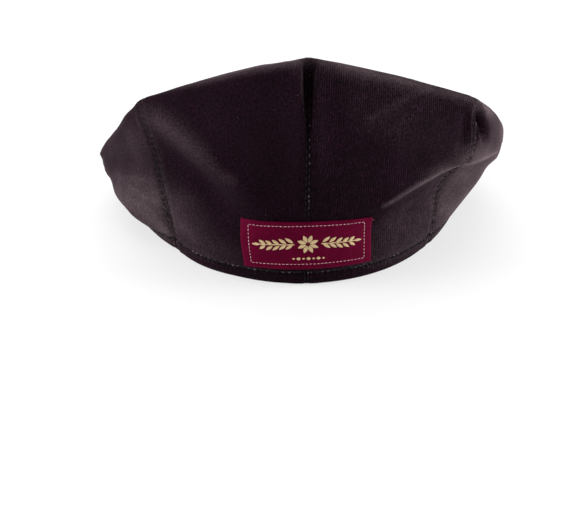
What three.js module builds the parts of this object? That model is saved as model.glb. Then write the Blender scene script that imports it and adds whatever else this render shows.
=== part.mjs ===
// A soft eight-panel cap of needlecord, with a stiff peak, a covered button and a woven label.
// Millimetres, +Z up. The back seam faces +Y, the peak -Y and the wearer's right -X. The crown is
// worked out about the middle of its rim, whose plane is z = 0, and the whole cap is then centred.
// A turn is an angle in degrees round the crown from the back seam, positive toward the wearer's
// right. A height "up" a panel is 0 at the rim, 1 at the ridge and 2 at the top centre.

import * as THREE from 'three';

const { clamp, degToRad, euclideanModulo, lerp, smoothstep } = THREE.MathUtils;

// Rim
const RIM_HALF_WIDTH = 83;
const RIM_HALF_LENGTH = 100;
const LIFT = 14; // the rim's rise over the peak
const LIFT_FROM = 90; // degrees from the back
const LIFT_TO = 175;

// Cloth
const WALL = 1.6;
const HEM_WALL = 2.8;
const HEM_HEIGHT = 7;
const HEM_STEP = 0.8; // height over which the hem thins to the wall
const PIECE_GAP = 0.3;

// Crown
const CENTRE_RADIUS = 4;
const CENTRE_HEIGHT = 71;
const CENTRE_SLOPE = 0.35; // the top falls toward the peak
const SEAM_DOME = 1.5;
const RIM_SHAPE_UP = 0.12; // the rim's oval holds up to here
const RIDGE_SHAPE_UP = 0.85; // and the ridge's own shape from here
const RIDGE_AT_SEAM = 6; // how far along the cloth the ridge is rounded
const RIDGE_AT_MIDDLE = 13;

// Seams and folds
const SEAM_SINK = 0.9;
const SEAM_SINK_WIDTH = 2.2;
const SEAM_SINK_UP = 0.1; // where the seams have sunk to their full depth
const SEAM_FULL_WIDTH = 25; // the sinking fades where a panel is narrower than this
const PINCH_UP = 0.93;
const PINCH_SPREAD = 0.16;
const FOLD_RADIUS = 105; // the crown's mean radius, for lengths round it
const FOLD_END = 0.12; // how far through its rise a fold starts and stops
const FOLD_FULLNESS = 0.7; // below 1, a fold keeps its height for longer
const SWELL_HEIGHT = 35; // folds and seams are pushed away from a point this high inside
const SWELL_RISE = 1.6; // how much more upward than outward the top is pushed
const SWELL_RISE_FROM = 0.75;
const SWELL_RISE_FULL = 1.3;

// Grid
const SIDE_STRIPS = 11;
const RIDGE_STRIPS = 2; // on each side of the ridge
const TOP_STRIPS = 7;
const SEAM_CROWDING = 0.5; // columns lie closer together beside the seams

// Peak
const PEAK_TURN = 62; // degrees to each side of the front
const PEAK_HALF_WIDTH = 82;
const PEAK_CORNER_Y = -45;
const PEAK_REACH = 108; // from its corners' line to its tip
const PEAK_THICKNESS = 3.2;
const PEAK_ARCH = 2.5;
const PEAK_EDGE = 0.96; // where its edge starts to round, as a share of its depth
const PEAK_EDGE_SHARE = 0.4; // the thickness left at the very edge
const PEAK_COLUMNS = 28;
const PEAK_ROWS = 6;

// Label
const LABEL_WIDTH = 65;
const LABEL_HEIGHT = 26.5;
const LABEL_UP = 9.5; // from the rim to its lower edge
const LABEL_TILT = 1.2; // degrees, up toward the wearer's right
const LABEL_THICKNESS = 1;
const LABEL_GAP = 0.4;
const LABEL_COLUMNS = 12;
const LABEL_ROWS = 5;

// Button
const BUTTON_RADIUS = 7;
const BUTTON_HEIGHT = 3.5;
const BUTTON_LIFT = 0.9; // above the flat ring where the panels end
const BUTTON_EDGE_SHARE = 0.35; // the straight edge's share of the height
const BUTTON_UNDERCUT = 0.8;
const BUTTON_RINGS = 5;
const BUTTON_SIDES = 24;
const SHANK_RADIUS = 3.4;
const SHANK_DEPTH = 1.2;

// One row a seam: the radius and height where it stands, bellies and turns over the ridge,
// and how much deeper it is pinched near the ridge
const SEAMS = [
  { turn: 0, standR: 103, standZ: 34, bellyR: 111, bellyZ: 70, cornerR: 116.5, cornerZ: 124, pinch: 4.8 },
  { turn: 48, standR: 100, standZ: 45, bellyR: 111, bellyZ: 58, cornerR: 115, cornerZ: 89.5, pinch: 1.8 },
  { turn: 92, standR: 95.5, standZ: 9, bellyR: 114, bellyZ: 33, cornerR: 114.5, cornerZ: 42, pinch: 0.8 },
  { turn: 136, standR: 100, standZ: 20, bellyR: 111, bellyZ: 30, cornerR: 117, cornerZ: 43, pinch: 0.8 },
  { turn: 180, standR: 108, standZ: 24, bellyR: 117, bellyZ: 34, cornerR: 120, cornerZ: 46, pinch: 0.8 },
  { turn: 224, standR: 99, standZ: 18, bellyR: 111, bellyZ: 27, cornerR: 117, cornerZ: 38, pinch: 0.8 },
  { turn: 268, standR: 94.5, standZ: 7, bellyR: 109, bellyZ: 15, cornerR: 112, cornerZ: 32, pinch: 0.8 },
  { turn: 312, standR: 94, standZ: 28, bellyR: 100.5, bellyZ: 57.5, cornerR: 109, cornerZ: 89.5, pinch: 0.8 },
];

// One row a panel, from its own seam to the next: how far its belly bows out past the straight
// lines between the seams, at what height up and over what spread, how far its ridge bows out,
// how high its top domes, and its strips of cloth
const PANELS = [
  { name: 'back_right', bow: 3, bowUp: 0.42, bowSpread: 0.16, ridge: 0.5, dome: 4.5, strips: 16 },
  { name: 'side_back_right', bow: 6, bowUp: 0.28, bowSpread: 0.26, ridge: 7.5, dome: 2.5, strips: 12 },
  { name: 'side_front_right', bow: 6, bowUp: 0.5, bowSpread: 0.24, ridge: 4, dome: 4.5, strips: 7 },
  { name: 'front_right', bow: 6, bowUp: 0.5, bowSpread: 0.24, ridge: 4, dome: 5, strips: 7 },
  { name: 'front_left', bow: 6, bowUp: 0.5, bowSpread: 0.24, ridge: 4, dome: 5, strips: 7 },
  { name: 'side_front_left', bow: 6, bowUp: 0.5, bowSpread: 0.24, ridge: 4, dome: 4.5, strips: 7 },
  { name: 'side_back_left', bow: 12, bowUp: 0.29, bowSpread: 0.27, ridge: 5.5, dome: 1.2, strips: 12 },
  { name: 'back_left', bow: 3, bowUp: 0.25, bowSpread: 0.16, ridge: 3, dome: 4.2, strips: 16 },
];

// One row a fold: where it runs, how high it stands (a hollow is negative), how wide it is and
// how square its flanks are
const FOLDS = [
  { fromTurn: 13, fromUp: 0.32, toTurn: 50, toUp: 0.53, height: 3.5, width: 6, flank: 1.4 },
  { fromTurn: 50, fromUp: 0.53, toTurn: 78, toUp: 0.66, height: 2, width: 7, flank: 1.4 },
  { fromTurn: 22, fromUp: 0.22, toTurn: 48, toUp: 0.36, height: -2.5, width: 9, flank: 2 },
  { fromTurn: -46, fromUp: 0.9, toTurn: -18, toUp: 0.44, height: 3, width: 9, flank: 2 },
  { fromTurn: -44, fromUp: 0.68, toTurn: -22, toUp: 0.36, height: -3, width: 8, flank: 2 },
];

// Plan of the rim

function outward(turn) {
  const angle = degToRad(turn);
  return new THREE.Vector3(-Math.sin(angle), Math.cos(angle), 0);
}

function alongRim(turn) {
  return outward(turn + 90);
}

function rimPoint(turn) {
  const { x, y } = outward(turn);
  const radius = 1 / Math.hypot(x / RIM_HALF_WIDTH, y / RIM_HALF_LENGTH);
  const fromBack = 180 - Math.abs(euclideanModulo(turn, 360) - 180);
  return outward(turn).multiplyScalar(radius).setZ(LIFT * smoothstep(fromBack, LIFT_FROM, LIFT_TO));
}

// Seam curves

// A smooth curve through (radius, height) points, whose stations are shares of its length
function smoothCurve(points) {
  const lengths = points.slice(1).map((point, i) => point.distanceTo(points[i]));
  const total = lengths.reduce((sum, length) => sum + length, 0);
  const stations = [0];
  lengths.forEach((length) => stations.push(stations.at(-1) + length / total));
  const chords = lengths.map(
    (length, i) => points[i + 1].clone().sub(points[i]).multiplyScalar(total / length),
  );
  const slopes = points.map((point, i) => {
    const before = chords[Math.max(i - 1, 0)];
    const after = chords[Math.min(i, chords.length - 1)];
    if (i === 0 || i === points.length - 1) return before.clone();
    return before.clone().lerp(after, lengths[i - 1] / (lengths[i - 1] + lengths[i]));
  });
  const at = (station) => {
    const i = clamp(stations.findIndex((end) => end > station) - 1, 0, chords.length - 1);
    const last = station >= 1 ? chords.length - 1 : i;
    const step = stations[last + 1] - stations[last];
    const t = (station - stations[last]) / step;
    return new THREE.Vector2()
      .addScaledVector(points[last], 2 * t ** 3 - 3 * t ** 2 + 1)
      .addScaledVector(slopes[last], (t ** 3 - 2 * t ** 2 + t) * step)
      .addScaledVector(points[last + 1], -2 * t ** 3 + 3 * t ** 2)
      .addScaledVector(slopes[last + 1], (t ** 3 - t ** 2) * step);
  };
  return { at, length: total };
}

function makeSeam(row) {
  const rim = rimPoint(row.turn);
  const side = smoothCurve([
    new THREE.Vector2(Math.hypot(rim.x, rim.y), rim.z),
    new THREE.Vector2(row.standR, row.standZ),
    new THREE.Vector2(row.bellyR, row.bellyZ),
    new THREE.Vector2(row.cornerR, row.cornerZ),
  ]);
  const corner = outward(row.turn).multiplyScalar(row.cornerR).setZ(row.cornerZ);
  const centre = outward(row.turn).multiplyScalar(CENTRE_RADIUS);
  centre.z = CENTRE_HEIGHT + CENTRE_SLOPE * centre.y;
  const at = (up) => {
    if (up <= 1) {
      const profile = side.at(up);
      return outward(row.turn).multiplyScalar(profile.x).setZ(profile.y);
    }
    const point = corner.clone().lerp(centre, up - 1);
    point.z += SEAM_DOME * Math.sin(Math.PI * (up - 1));
    return point;
  };
  return { ...row, at, sideLength: side.length, topLength: corner.distanceTo(centre) };
}

const seams = SEAMS.map(makeSeam);

// Panel surface. "across" is 0 at the panel's own seam and 1 at the next.

function panelEdges(index) {
  const own = seams[index];
  const next = seams[(index + 1) % seams.length];
  const nextTurn = next.turn + (next.turn < own.turn ? 360 : 0);
  return { own, next, nextTurn };
}

function panelLengths(index, across) {
  const { own, next } = panelEdges(index);
  return {
    side: lerp(own.sideLength, next.sideLength, across),
    top: lerp(own.topLength, next.topLength, across),
  };
}

// The cloth between two seams, with a sharp ridge
function stretchedPoint(index, across, up) {
  const panel = PANELS[index];
  const { own, next, nextTurn } = panelEdges(index);
  const turn = lerp(own.turn, nextTurn, across);
  const point = own.at(up).lerp(next.at(up), across);
  const rimChord = rimPoint(own.turn).lerp(rimPoint(nextTurn), across);
  const towardRidge = smoothstep(up, RIM_SHAPE_UP, RIDGE_SHAPE_UP);
  point.addScaledVector(rimPoint(turn).sub(rimChord), 1 - towardRidge);
  const hump = 4 * across * (1 - across);
  const overTop = clamp(up - 1, 0, 1);
  const belly = panel.bow * Math.exp(-(((up - panel.bowUp) / panel.bowSpread) ** 2));
  const ridge = panel.ridge * towardRidge * (1 - overTop);
  point.addScaledVector(outward(turn), (belly + ridge) * hump);
  point.z += panel.dome * hump * Math.sin(Math.PI * overTop);
  return point;
}

function ridgeRounding(index, across) {
  const rounding = lerp(RIDGE_AT_SEAM, RIDGE_AT_MIDDLE, Math.sin(Math.PI * across) ** 2);
  const lengths = panelLengths(index, across);
  return { below: rounding / lengths.side, above: rounding / lengths.top };
}

// The same cloth with its ridge rounded over
function roundedPoint(index, across, up) {
  const { below, above } = ridgeRounding(index, across);
  if (up <= 1 - below || up >= 1 + above) return stretchedPoint(index, across, up);
  const bend = new THREE.QuadraticBezierCurve3(
    stretchedPoint(index, across, 1 - below),
    stretchedPoint(index, across, 1),
    stretchedPoint(index, across, 1 + above),
  );
  return bend.getPoint(up < 1 ? 0.5 - (1 - up) / below / 2 : 0.5 + (up - 1) / above / 2);
}

function foldHeight(turn, up, sideLength) {
  const place = new THREE.Vector2(degToRad(turn) * FOLD_RADIUS, up * sideLength);
  let height = 0;
  for (const fold of FOLDS) {
    const from = new THREE.Vector2(degToRad(fold.fromTurn) * FOLD_RADIUS, fold.fromUp * sideLength);
    const run = new THREE.Vector2(degToRad(fold.toTurn) * FOLD_RADIUS, fold.toUp * sideLength).sub(from);
    const along = clamp(place.clone().sub(from).dot(run) / run.lengthSq(), 0, 1);
    const distance = place.distanceTo(from.addScaledVector(run, along));
    const fade = Math.sin(Math.PI * lerp(FOLD_END, 1 - FOLD_END, along)) ** FOLD_FULLNESS;
    height += fold.height * fade * Math.exp(-((distance / fold.width) ** fold.flank));
  }
  return height;
}

function seamSink(seam, distance, up, panelWidth) {
  const pinch = seam.pinch * Math.exp(-(((up - PINCH_UP) / PINCH_SPREAD) ** 2));
  const room = Math.min(1, panelWidth / SEAM_FULL_WIDTH);
  const depth = (SEAM_SINK + pinch) * smoothstep(up, 0, SEAM_SINK_UP) * room;
  return depth * Math.exp(-((distance / SEAM_SINK_WIDTH) ** 2));
}

// The direction in which folds stand out: away from a point inside the crown
function swellDirection(point, up) {
  const direction = point.clone().sub(new THREE.Vector3(0, 0, SWELL_HEIGHT));
  direction.z *= SWELL_RISE * smoothstep(up, SWELL_RISE_FROM, SWELL_RISE_FULL);
  return direction.normalize();
}

// The finished outer surface. The label's cloth leaves out the seams' sinking.
function crownPoint(index, across, up, withSeams = true) {
  const { own, next, nextTurn } = panelEdges(index);
  const point = roundedPoint(index, across, up);
  const turn = lerp(own.turn, nextTurn, across);
  const nearTurn = turn > 180 ? turn - 360 : turn;
  let height = foldHeight(nearTurn, up, panelLengths(index, across).side);
  if (withSeams) {
    const panelWidth = degToRad(nextTurn - own.turn) * Math.hypot(point.x, point.y);
    height -= seamSink(own, across * panelWidth, up, panelWidth);
    height -= seamSink(next, (1 - across) * panelWidth, up, panelWidth);
  }
  return point.addScaledVector(swellDirection(point, up), height);
}

// Grids of points: a list of columns, each a list of points from below upward

function spaced(from, to, strips) {
  return Array.from({ length: strips + 1 }, (_, i) => lerp(from, to, i / strips));
}

function columnPlaces(strips) {
  return spaced(0, 1, strips).map(
    (t) => t - (SEAM_CROWDING * Math.sin(2 * Math.PI * t)) / (2 * Math.PI),
  );
}

function rowPlaces(index, across) {
  const { side } = panelLengths(index, across);
  const { below, above } = ridgeRounding(index, across);
  const sideEnd = 1 - below;
  const topStart = 1 + above;
  return [
    0,
    HEM_HEIGHT / side,
    ...spaced((HEM_HEIGHT + HEM_STEP) / side, sideEnd, SIDE_STRIPS),
    ...spaced(sideEnd, 1, RIDGE_STRIPS).slice(1),
    ...spaced(1, topStart, RIDGE_STRIPS).slice(1),
    ...spaced(topStart, 2, TOP_STRIPS).slice(1),
  ];
}

function outerColumn(index, across) {
  return rowPlaces(index, across).map((up) => crownPoint(index, across, up));
}

// The whole crown's columns in one ring, so that the walls on both sides of a seam share its
// directions and can't cross
function crownRing() {
  const ring = [];
  PANELS.forEach((panel, index) => {
    columnPlaces(panel.strips).slice(0, -1).forEach((across) => {
      ring.push({ index, outer: outerColumn(index, across) });
    });
  });
  return ring;
}

function wallDirection(ring, i, j) {
  const count = ring.length;
  const column = ring[i].outer;
  const acrossStep = ring[(i + 1) % count].outer[j].clone().sub(ring[(i + count - 1) % count].outer[j]);
  const upStep = column[Math.min(j + 1, column.length - 1)].clone().sub(column[Math.max(j - 1, 0)]);
  const direction = acrossStep.cross(upStep);
  if (j === 0) direction.z = 0;
  return direction.normalize();
}

function innerColumn(ring, i) {
  return ring[i].outer.map((point, j) => {
    const thickness = j <= 1 ? HEM_WALL : WALL;
    return point.clone().addScaledVector(wallDirection(ring, i, j), -thickness);
  });
}

// Solids

// A closed body between two grids of the same size: the outer one, seen from outside with its
// columns running to the right and its points upward, and the inner one behind it
function sheetSolid(outer, inner) {
  const columns = outer.length;
  const rows = outer[0].length;
  const points = [...outer.flat(), ...inner.flat()];
  const front = (i, j) => i * rows + j;
  const back = (i, j) => (columns + i) * rows + j;
  const triangles = [];
  const addQuad = (a, b, c, d) => triangles.push(a, b, c, a, c, d);
  for (let i = 0; i < columns - 1; i += 1) {
    for (let j = 0; j < rows - 1; j += 1) {
      addQuad(front(i, j), front(i + 1, j), front(i + 1, j + 1), front(i, j + 1));
      addQuad(back(i, j), back(i, j + 1), back(i + 1, j + 1), back(i + 1, j));
    }
    const top = rows - 1;
    addQuad(back(i, 0), back(i + 1, 0), front(i + 1, 0), front(i, 0));
    addQuad(front(i, top), front(i + 1, top), back(i + 1, top), back(i, top));
  }
  for (let j = 0; j < rows - 1; j += 1) {
    const end = columns - 1;
    addQuad(back(0, j), front(0, j), front(0, j + 1), back(0, j + 1));
    addQuad(front(end, j), back(end, j), back(end, j + 1), front(end, j + 1));
  }
  const geometry = new THREE.BufferGeometry().setFromPoints(points);
  geometry.setIndex(triangles);
  geometry.computeVertexNormals();
  return geometry;
}

// Draws a panel in from both its seams by half a gap
function clearOfSeams(point, panelIndex, across) {
  const { own, next } = panelEdges(panelIndex);
  return point
    .clone()
    .addScaledVector(alongRim(own.turn), (PIECE_GAP / 2) * (1 - across))
    .addScaledVector(alongRim(next.turn), (-PIECE_GAP / 2) * across);
}

function panelGeometry(ring, panelIndex) {
  const start = ring.findIndex((column) => column.index === panelIndex);
  const places = columnPlaces(PANELS[panelIndex].strips);
  const outer = [];
  const inner = [];
  places.forEach((across, i) => {
    const at = (start + i) % ring.length;
    outer.push(ring[at].outer.map((point) => clearOfSeams(point, panelIndex, across)));
    inner.push(innerColumn(ring, at).map((point) => clearOfSeams(point, panelIndex, across)));
  });
  return sheetSolid(outer, inner);
}

// The peak's root follows the rim under the hem, and its edge is a wider, shallower curve
function peakPoint(fromFront, depth, side) {
  const root = rimPoint(180 + fromFront);
  const tuck = (Math.hypot(root.x, root.y) - HEM_WALL) / Math.hypot(root.x, root.y);
  root.set(root.x * tuck, root.y * tuck, root.z - PIECE_GAP);
  const angle = degToRad((fromFront * 90) / PEAK_TURN);
  const edge = new THREE.Vector3(
    PEAK_HALF_WIDTH * Math.sin(angle),
    PEAK_CORNER_Y - PEAK_REACH * Math.cos(angle),
    PEAK_THICKNESS,
  );
  const point = root.lerp(edge, depth);
  point.z += PEAK_ARCH * Math.cos(angle) * Math.sin(Math.PI * depth);
  const thickness = depth > PEAK_EDGE ? PEAK_THICKNESS * PEAK_EDGE_SHARE : PEAK_THICKNESS;
  point.z += side === 'top' ? (thickness - PEAK_THICKNESS) / 2 : -(thickness + PEAK_THICKNESS) / 2;
  return point;
}

function peakGeometry() {
  const places = [1, ...spaced(PEAK_EDGE, 0, PEAK_ROWS)];
  const grid = (side) => spaced(-PEAK_TURN, PEAK_TURN, PEAK_COLUMNS).map(
    (fromFront) => places.map((depth) => peakPoint(fromFront, depth, side)),
  );
  return sheetSolid(grid('top'), grid('bottom'));
}

// A point over the back of the crown, so far round from the back seam and up from the rim
function backPoint(acrossBack, height, standOff) {
  const turn = THREE.MathUtils.radToDeg(acrossBack / rimPoint(0).y);
  const index = turn >= 0 ? 0 : PANELS.length - 1;
  const { own, nextTurn } = panelEdges(index);
  const across = (euclideanModulo(turn, 360) - own.turn) / (nextTurn - own.turn);
  const up = height / panelLengths(index, across).side;
  const point = crownPoint(index, across, up, false);
  return point.addScaledVector(outward(turn), standOff);
}

// The label lies over the back seam, and bridges its groove
function labelGeometry() {
  const rise = Math.tan(degToRad(LABEL_TILT));
  const grid = (standOff) => spaced(-LABEL_WIDTH / 2, LABEL_WIDTH / 2, LABEL_COLUMNS).map(
    (acrossBack) => spaced(LABEL_UP, LABEL_UP + LABEL_HEIGHT, LABEL_ROWS).map(
      (height) => backPoint(acrossBack, height + acrossBack * rise, standOff),
    ),
  );
  return sheetSolid(grid(LABEL_GAP + LABEL_THICKNESS), grid(LABEL_GAP));
}

// A covered button whose shank fills the opening where the panels end
function buttonGeometry() {
  const dome = spaced(0, 90, BUTTON_RINGS).map((angle) => new THREE.Vector2(
    BUTTON_RADIUS * Math.cos(degToRad(angle)),
    BUTTON_HEIGHT * lerp(BUTTON_EDGE_SHARE, 1, Math.sin(degToRad(angle))),
  ));
  dome[dome.length - 1].x = 0;
  return new THREE.LatheGeometry([
    new THREE.Vector2(0, -SHANK_DEPTH - BUTTON_LIFT),
    new THREE.Vector2(SHANK_RADIUS, -SHANK_DEPTH - BUTTON_LIFT),
    new THREE.Vector2(SHANK_RADIUS, 0),
    new THREE.Vector2(BUTTON_RADIUS - BUTTON_UNDERCUT, 0),
    ...dome,
  ], BUTTON_SIDES);
}

// The assembled cap

const cloth = () => new THREE.MeshStandardMaterial({ color: 0x2a1f25, roughness: 0.95, metalness: 0 });
const labelWeave = () => new THREE.MeshStandardMaterial({ color: 0x620529, roughness: 0.85, metalness: 0 });

function addPiece(group, name, geometry, material) {
  const piece = new THREE.Mesh(geometry, material);
  piece.name = name;
  group.add(piece);
  return piece;
}

const cap = new THREE.Group();
const ring = crownRing();
PANELS.forEach((panel, index) => {
  addPiece(cap, `panel_${panel.name}`, panelGeometry(ring, index), cloth());
});
addPiece(cap, 'peak', peakGeometry(), cloth());
addPiece(cap, 'back_label', labelGeometry(), labelWeave());

const button = addPiece(cap, 'top_button', buttonGeometry(), cloth());
const buttonTilt = Math.atan(CENTRE_SLOPE);
button.rotation.x = Math.PI / 2 + buttonTilt;
button.position
  .set(0, 0, CENTRE_HEIGHT)
  .addScaledVector(new THREE.Vector3(0, -Math.sin(buttonTilt), Math.cos(buttonTilt)), BUTTON_LIFT);

const middle = new THREE.Box3().setFromObject(cap).getCenter(new THREE.Vector3());
cap.position.set(-middle.x, -middle.y, 0);

export default cap;
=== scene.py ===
"""The looks of a soft panelled cap in fine corduroy, seen from behind.

The crown is worked out in millimetres about the middle of its rim, whose plane is z = 0, and
placed in the frame by the peak, which is symmetric. +Y is the back, -X the wearer's right. A turn
is an angle in degrees round the crown from the back seam, positive toward the wearer's right.
"up" is 0 at the rim, 1 at the ridge and 2 at the top centre; "across" is 0 at a panel's own seam
and 1 at the next.
"""
import functools
import math
from collections import namedtuple

import bpy
import numpy as np
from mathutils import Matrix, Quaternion, Vector


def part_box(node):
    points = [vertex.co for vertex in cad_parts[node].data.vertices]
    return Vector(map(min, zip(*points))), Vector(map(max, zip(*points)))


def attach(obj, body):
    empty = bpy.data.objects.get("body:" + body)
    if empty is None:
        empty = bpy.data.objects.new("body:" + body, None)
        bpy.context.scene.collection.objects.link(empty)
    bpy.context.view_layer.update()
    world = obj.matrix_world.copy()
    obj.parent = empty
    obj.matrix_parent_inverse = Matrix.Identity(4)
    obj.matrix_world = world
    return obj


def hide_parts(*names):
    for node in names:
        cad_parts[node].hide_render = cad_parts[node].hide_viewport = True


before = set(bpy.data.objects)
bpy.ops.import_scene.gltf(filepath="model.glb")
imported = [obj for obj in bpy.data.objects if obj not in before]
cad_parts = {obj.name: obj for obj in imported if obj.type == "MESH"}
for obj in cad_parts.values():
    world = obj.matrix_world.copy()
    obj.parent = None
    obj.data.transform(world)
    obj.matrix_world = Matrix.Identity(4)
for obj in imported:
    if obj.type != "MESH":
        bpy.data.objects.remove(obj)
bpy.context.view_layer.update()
MM = 0.001

# Rim and cloth: lengths in mm, turns in degrees
RIM_HALF_WIDTH = 83.0
RIM_HALF_LENGTH = 100.0
LIFT = 14.0
LIFT_FROM = 90.0
LIFT_TO = 175.0
WALL = 1.3
HEM_WALL = 2.7
HEM_HEIGHT = 6.8
HEM_ROUND = 1.1
LEAST_WALL = 0.25

# Crown
CENTRE_RADIUS = 4.0
CENTRE_HEIGHT = 71.0
CENTRE_SLOPE = 0.35
SEAM_DOME = 1.5
RIDGE_AT_MIDDLE = 9.5
RIM_FORM_TO = 0.12
RIDGE_FORM_FROM = 0.85
RISE_FROM = 0.7
SEAM_SINK = 0.3
SEAM_SINK_WIDTH = 2.0
SINK_FULL_UP = 0.1
PINCH_UP = 0.92
PINCH_SPREAD_BELOW = 0.18
PINCH_SPREAD_ABOVE = 0.06
PINCH_WIDTH = 3.4
PINCH_WIDTH_LOW = 0.8
PINCH_LOW_UP = 0.60
FOLD_RADIUS = 105.0
FOLD_END = 0.12
FOLD_FULLNESS = 0.7
SWELL_HEIGHT = 35.0
SWELL_UPWARD = 1.6
SWELL_FROM = 0.75
SWELL_TO = 1.3

# Slow undulations of the free cloth: their height is a share of their length
WAVELENGTHS = (62, 47, 36, 27, 21)
WAVE_SHARE = 0.004
WAVE_SPREAD = 0.9
WAVE_SEED = 40

# Sewing
ALLOWANCE = 6.5
ALLOWANCE_HEIGHT = 0.25
ALLOWANCE_WALL = 0.9
CREASE_DEPTH = 0.2
CREASE_WIDTH = 0.5
STITCH_DENT = 0.35
STITCH_DENT_WIDTH = 0.6
PUCKER_HEIGHT = 0.1
PUCKER_FROM_SEAM = 3.2
PUCKER_SPREAD = 3.0
PUCKER_PHASE = 2.1
HEM_ROLL = 0.35
HEM_DENT = 0.6
HEM_DENT_WIDTH = 0.8
HEM_STRIP_WIDTH = 1.3

# A panel narrower than this has flatter seams, or a shallower valley
NARROW = 30.0
VALLEY_NARROW = 25.0

# "share" is a stitch's part of its pitch, "rise" its bow's height, "sink" how deep its ends lie.
Stitch = namedtuple("Stitch", "pitch radius share rise sink")
SEAM_STITCH = Stitch(3.7, 0.32, 0.74, 0.3, 0.16)
HEM_STITCH = Stitch(2.9, 0.32, 0.74, 0.3, 0.16)
LABEL_STITCH = Stitch(1.9, 0.14, 0.72, 0.2, 0.05)
THREAD_END = Stitch(5.0, 0.3, 1.0, 0.3, 0.0)

# Grids: the hem's rows are heights in mm
COLUMNS = 84
HEM_ROWS = (0, 0.12, 0.35, 0.7, 1.1, 2, 3.2, 4.4, 5.4, 6.1, 6.8, 7.5, 8.4)
SIDE_FROM = 9.4
SIDE_ROWS = 96
RIDGE_ROWS = 12
TOP_ROWS = 44
SEAM_CROWDING = 0.72
LABEL_COLUMNS = 120
LABEL_ROWS = 52
PEAK_COLUMNS = 150
PEAK_ROWS = 44
SHARP_ANGLE = 55

# Peak
PEAK_TURN = 62.0
PEAK_HALF_WIDTH = 82.0
PEAK_CORNER_Y = -45.0
PEAK_REACH = 108.0
PEAK_THICKNESS = 3.2
PEAK_ARCH = 2.5
PEAK_DROP = 0.35
PEAK_ROUND = 1.7
PEAK_STITCH_INSETS = (5.0, 9.5)
PEAK_DENT = 0.16
PEAK_DENT_WIDTH = 0.7
# The grid's rows along the peak's border, as insets in mm, and the depth that they need
PEAK_INSETS = np.array([0, 0.08, 0.25, 0.5, 0.8, 1.2, 1.7, 2.4, 3.2, 4.2, 5, 5.8, 7, 8.4, 9.5, 10.6, 12.0])
PEAK_BORDER = 13.0

# Label
LABEL_WIDTH = 65.0
LABEL_HEIGHT = 27.1
LABEL_UP = 9.0
LABEL_TOP = LABEL_UP + LABEL_HEIGHT
LABEL_SIDE = LABEL_WIDTH / 2
LABEL_TILT = 0.4
LABEL_ARCH_LOW = 0.5
LABEL_ARCH_HIGH = 1.1
LABEL_TAPER = 0.02
LABEL_SLANT = 1.2
LABEL_BORDER_SIDE = 4.2
LABEL_BORDER_LOW = 3.1
LABEL_BORDER_HIGH = 2.3
LABEL_GAP = 0.25
LABEL_WALL = 0.85
LABEL_EDGE = 0.35

# Camera: the photo is 575 pixels wide
PHOTO_WIDTH = 575
MM_PER_PIXEL = 0.584
CAMERA_DISTANCE = 650.0
CAMERA_ELEVATION = 25.0
CAMERA_AROUND = -2.4
CAMERA_TURN_LEFT = 0.54
CAMERA_TURN_DOWN = 2.69
SENSOR = 36.0

# "ridge" is how far from the corner its rounding starts, "rows" the stitch rows' distance to the seam.
Seam = namedtuple("Seam", "turn stand_r stand_z belly_r belly_z corner_r corner_z pinch ridge rows")
SEAMS = [Seam(*row) for row in (
    (0, 103.0, 34, 111.0, 70, 116.5, 124, 10.0, 6.0, 0.8),
    (48, 100.0, 45, 111.0, 58, 115.0, 89.5, 1.0, 6.0, 1.3),
    (92, 95.5, 9, 114.0, 33, 114.5, 42, 0.8, 6.0, 1.3),
    (136, 100.0, 20, 111.0, 30, 117.0, 43, 0.8, 6.0, 1.3),
    (180, 108.0, 24, 117.0, 34, 120.0, 46, 0.8, 6.0, 1.3),
    (224, 99.0, 18, 111.0, 27, 117.0, 38, 0.8, 6.0, 1.3),
    (268, 94.5, 7, 109.0, 15, 112.5, 32, 0.2, 2.0, 1.3),
    (312, 94.0, 28, 100.5, 57.5, 109.0, 89.5, 0.2, 3.0, 2.0),
)]

# "faint" is how faint the ribs look on a panel.
Panel = namedtuple("Panel", "name belly_bow belly_up belly_spread ridge_bow ridge_rise dome faint")
PANELS = [Panel(*row) for row in (
    ("back_right", 3.0, 0.42, 0.16, 0.5, 1.1, 4.5, 0.0),
    ("side_back_right", 6.0, 0.28, 0.26, 7.5, 0, 2.5, 0.4),
    ("side_front_right", 6.0, 0.50, 0.24, 4.0, 0, 4.5, 0.2),
    ("front_right", 6.0, 0.50, 0.24, 4.0, 0, 5.0, 0.2),
    ("front_left", 6.0, 0.50, 0.24, 4.0, 0, 5.0, 0.2),
    ("side_front_left", 6.0, 0.50, 0.24, 4.0, 0, 4.5, 0.2),
    ("side_back_left", 12.0, 0.29, 0.27, 4.2, 0, 1.2, 0.4),
    ("back_left", 3.0, 0.25, 0.16, 3.0, 2.0, 4.2, 0.5),
)]
PANEL_COUNT = len(PANELS)

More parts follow.
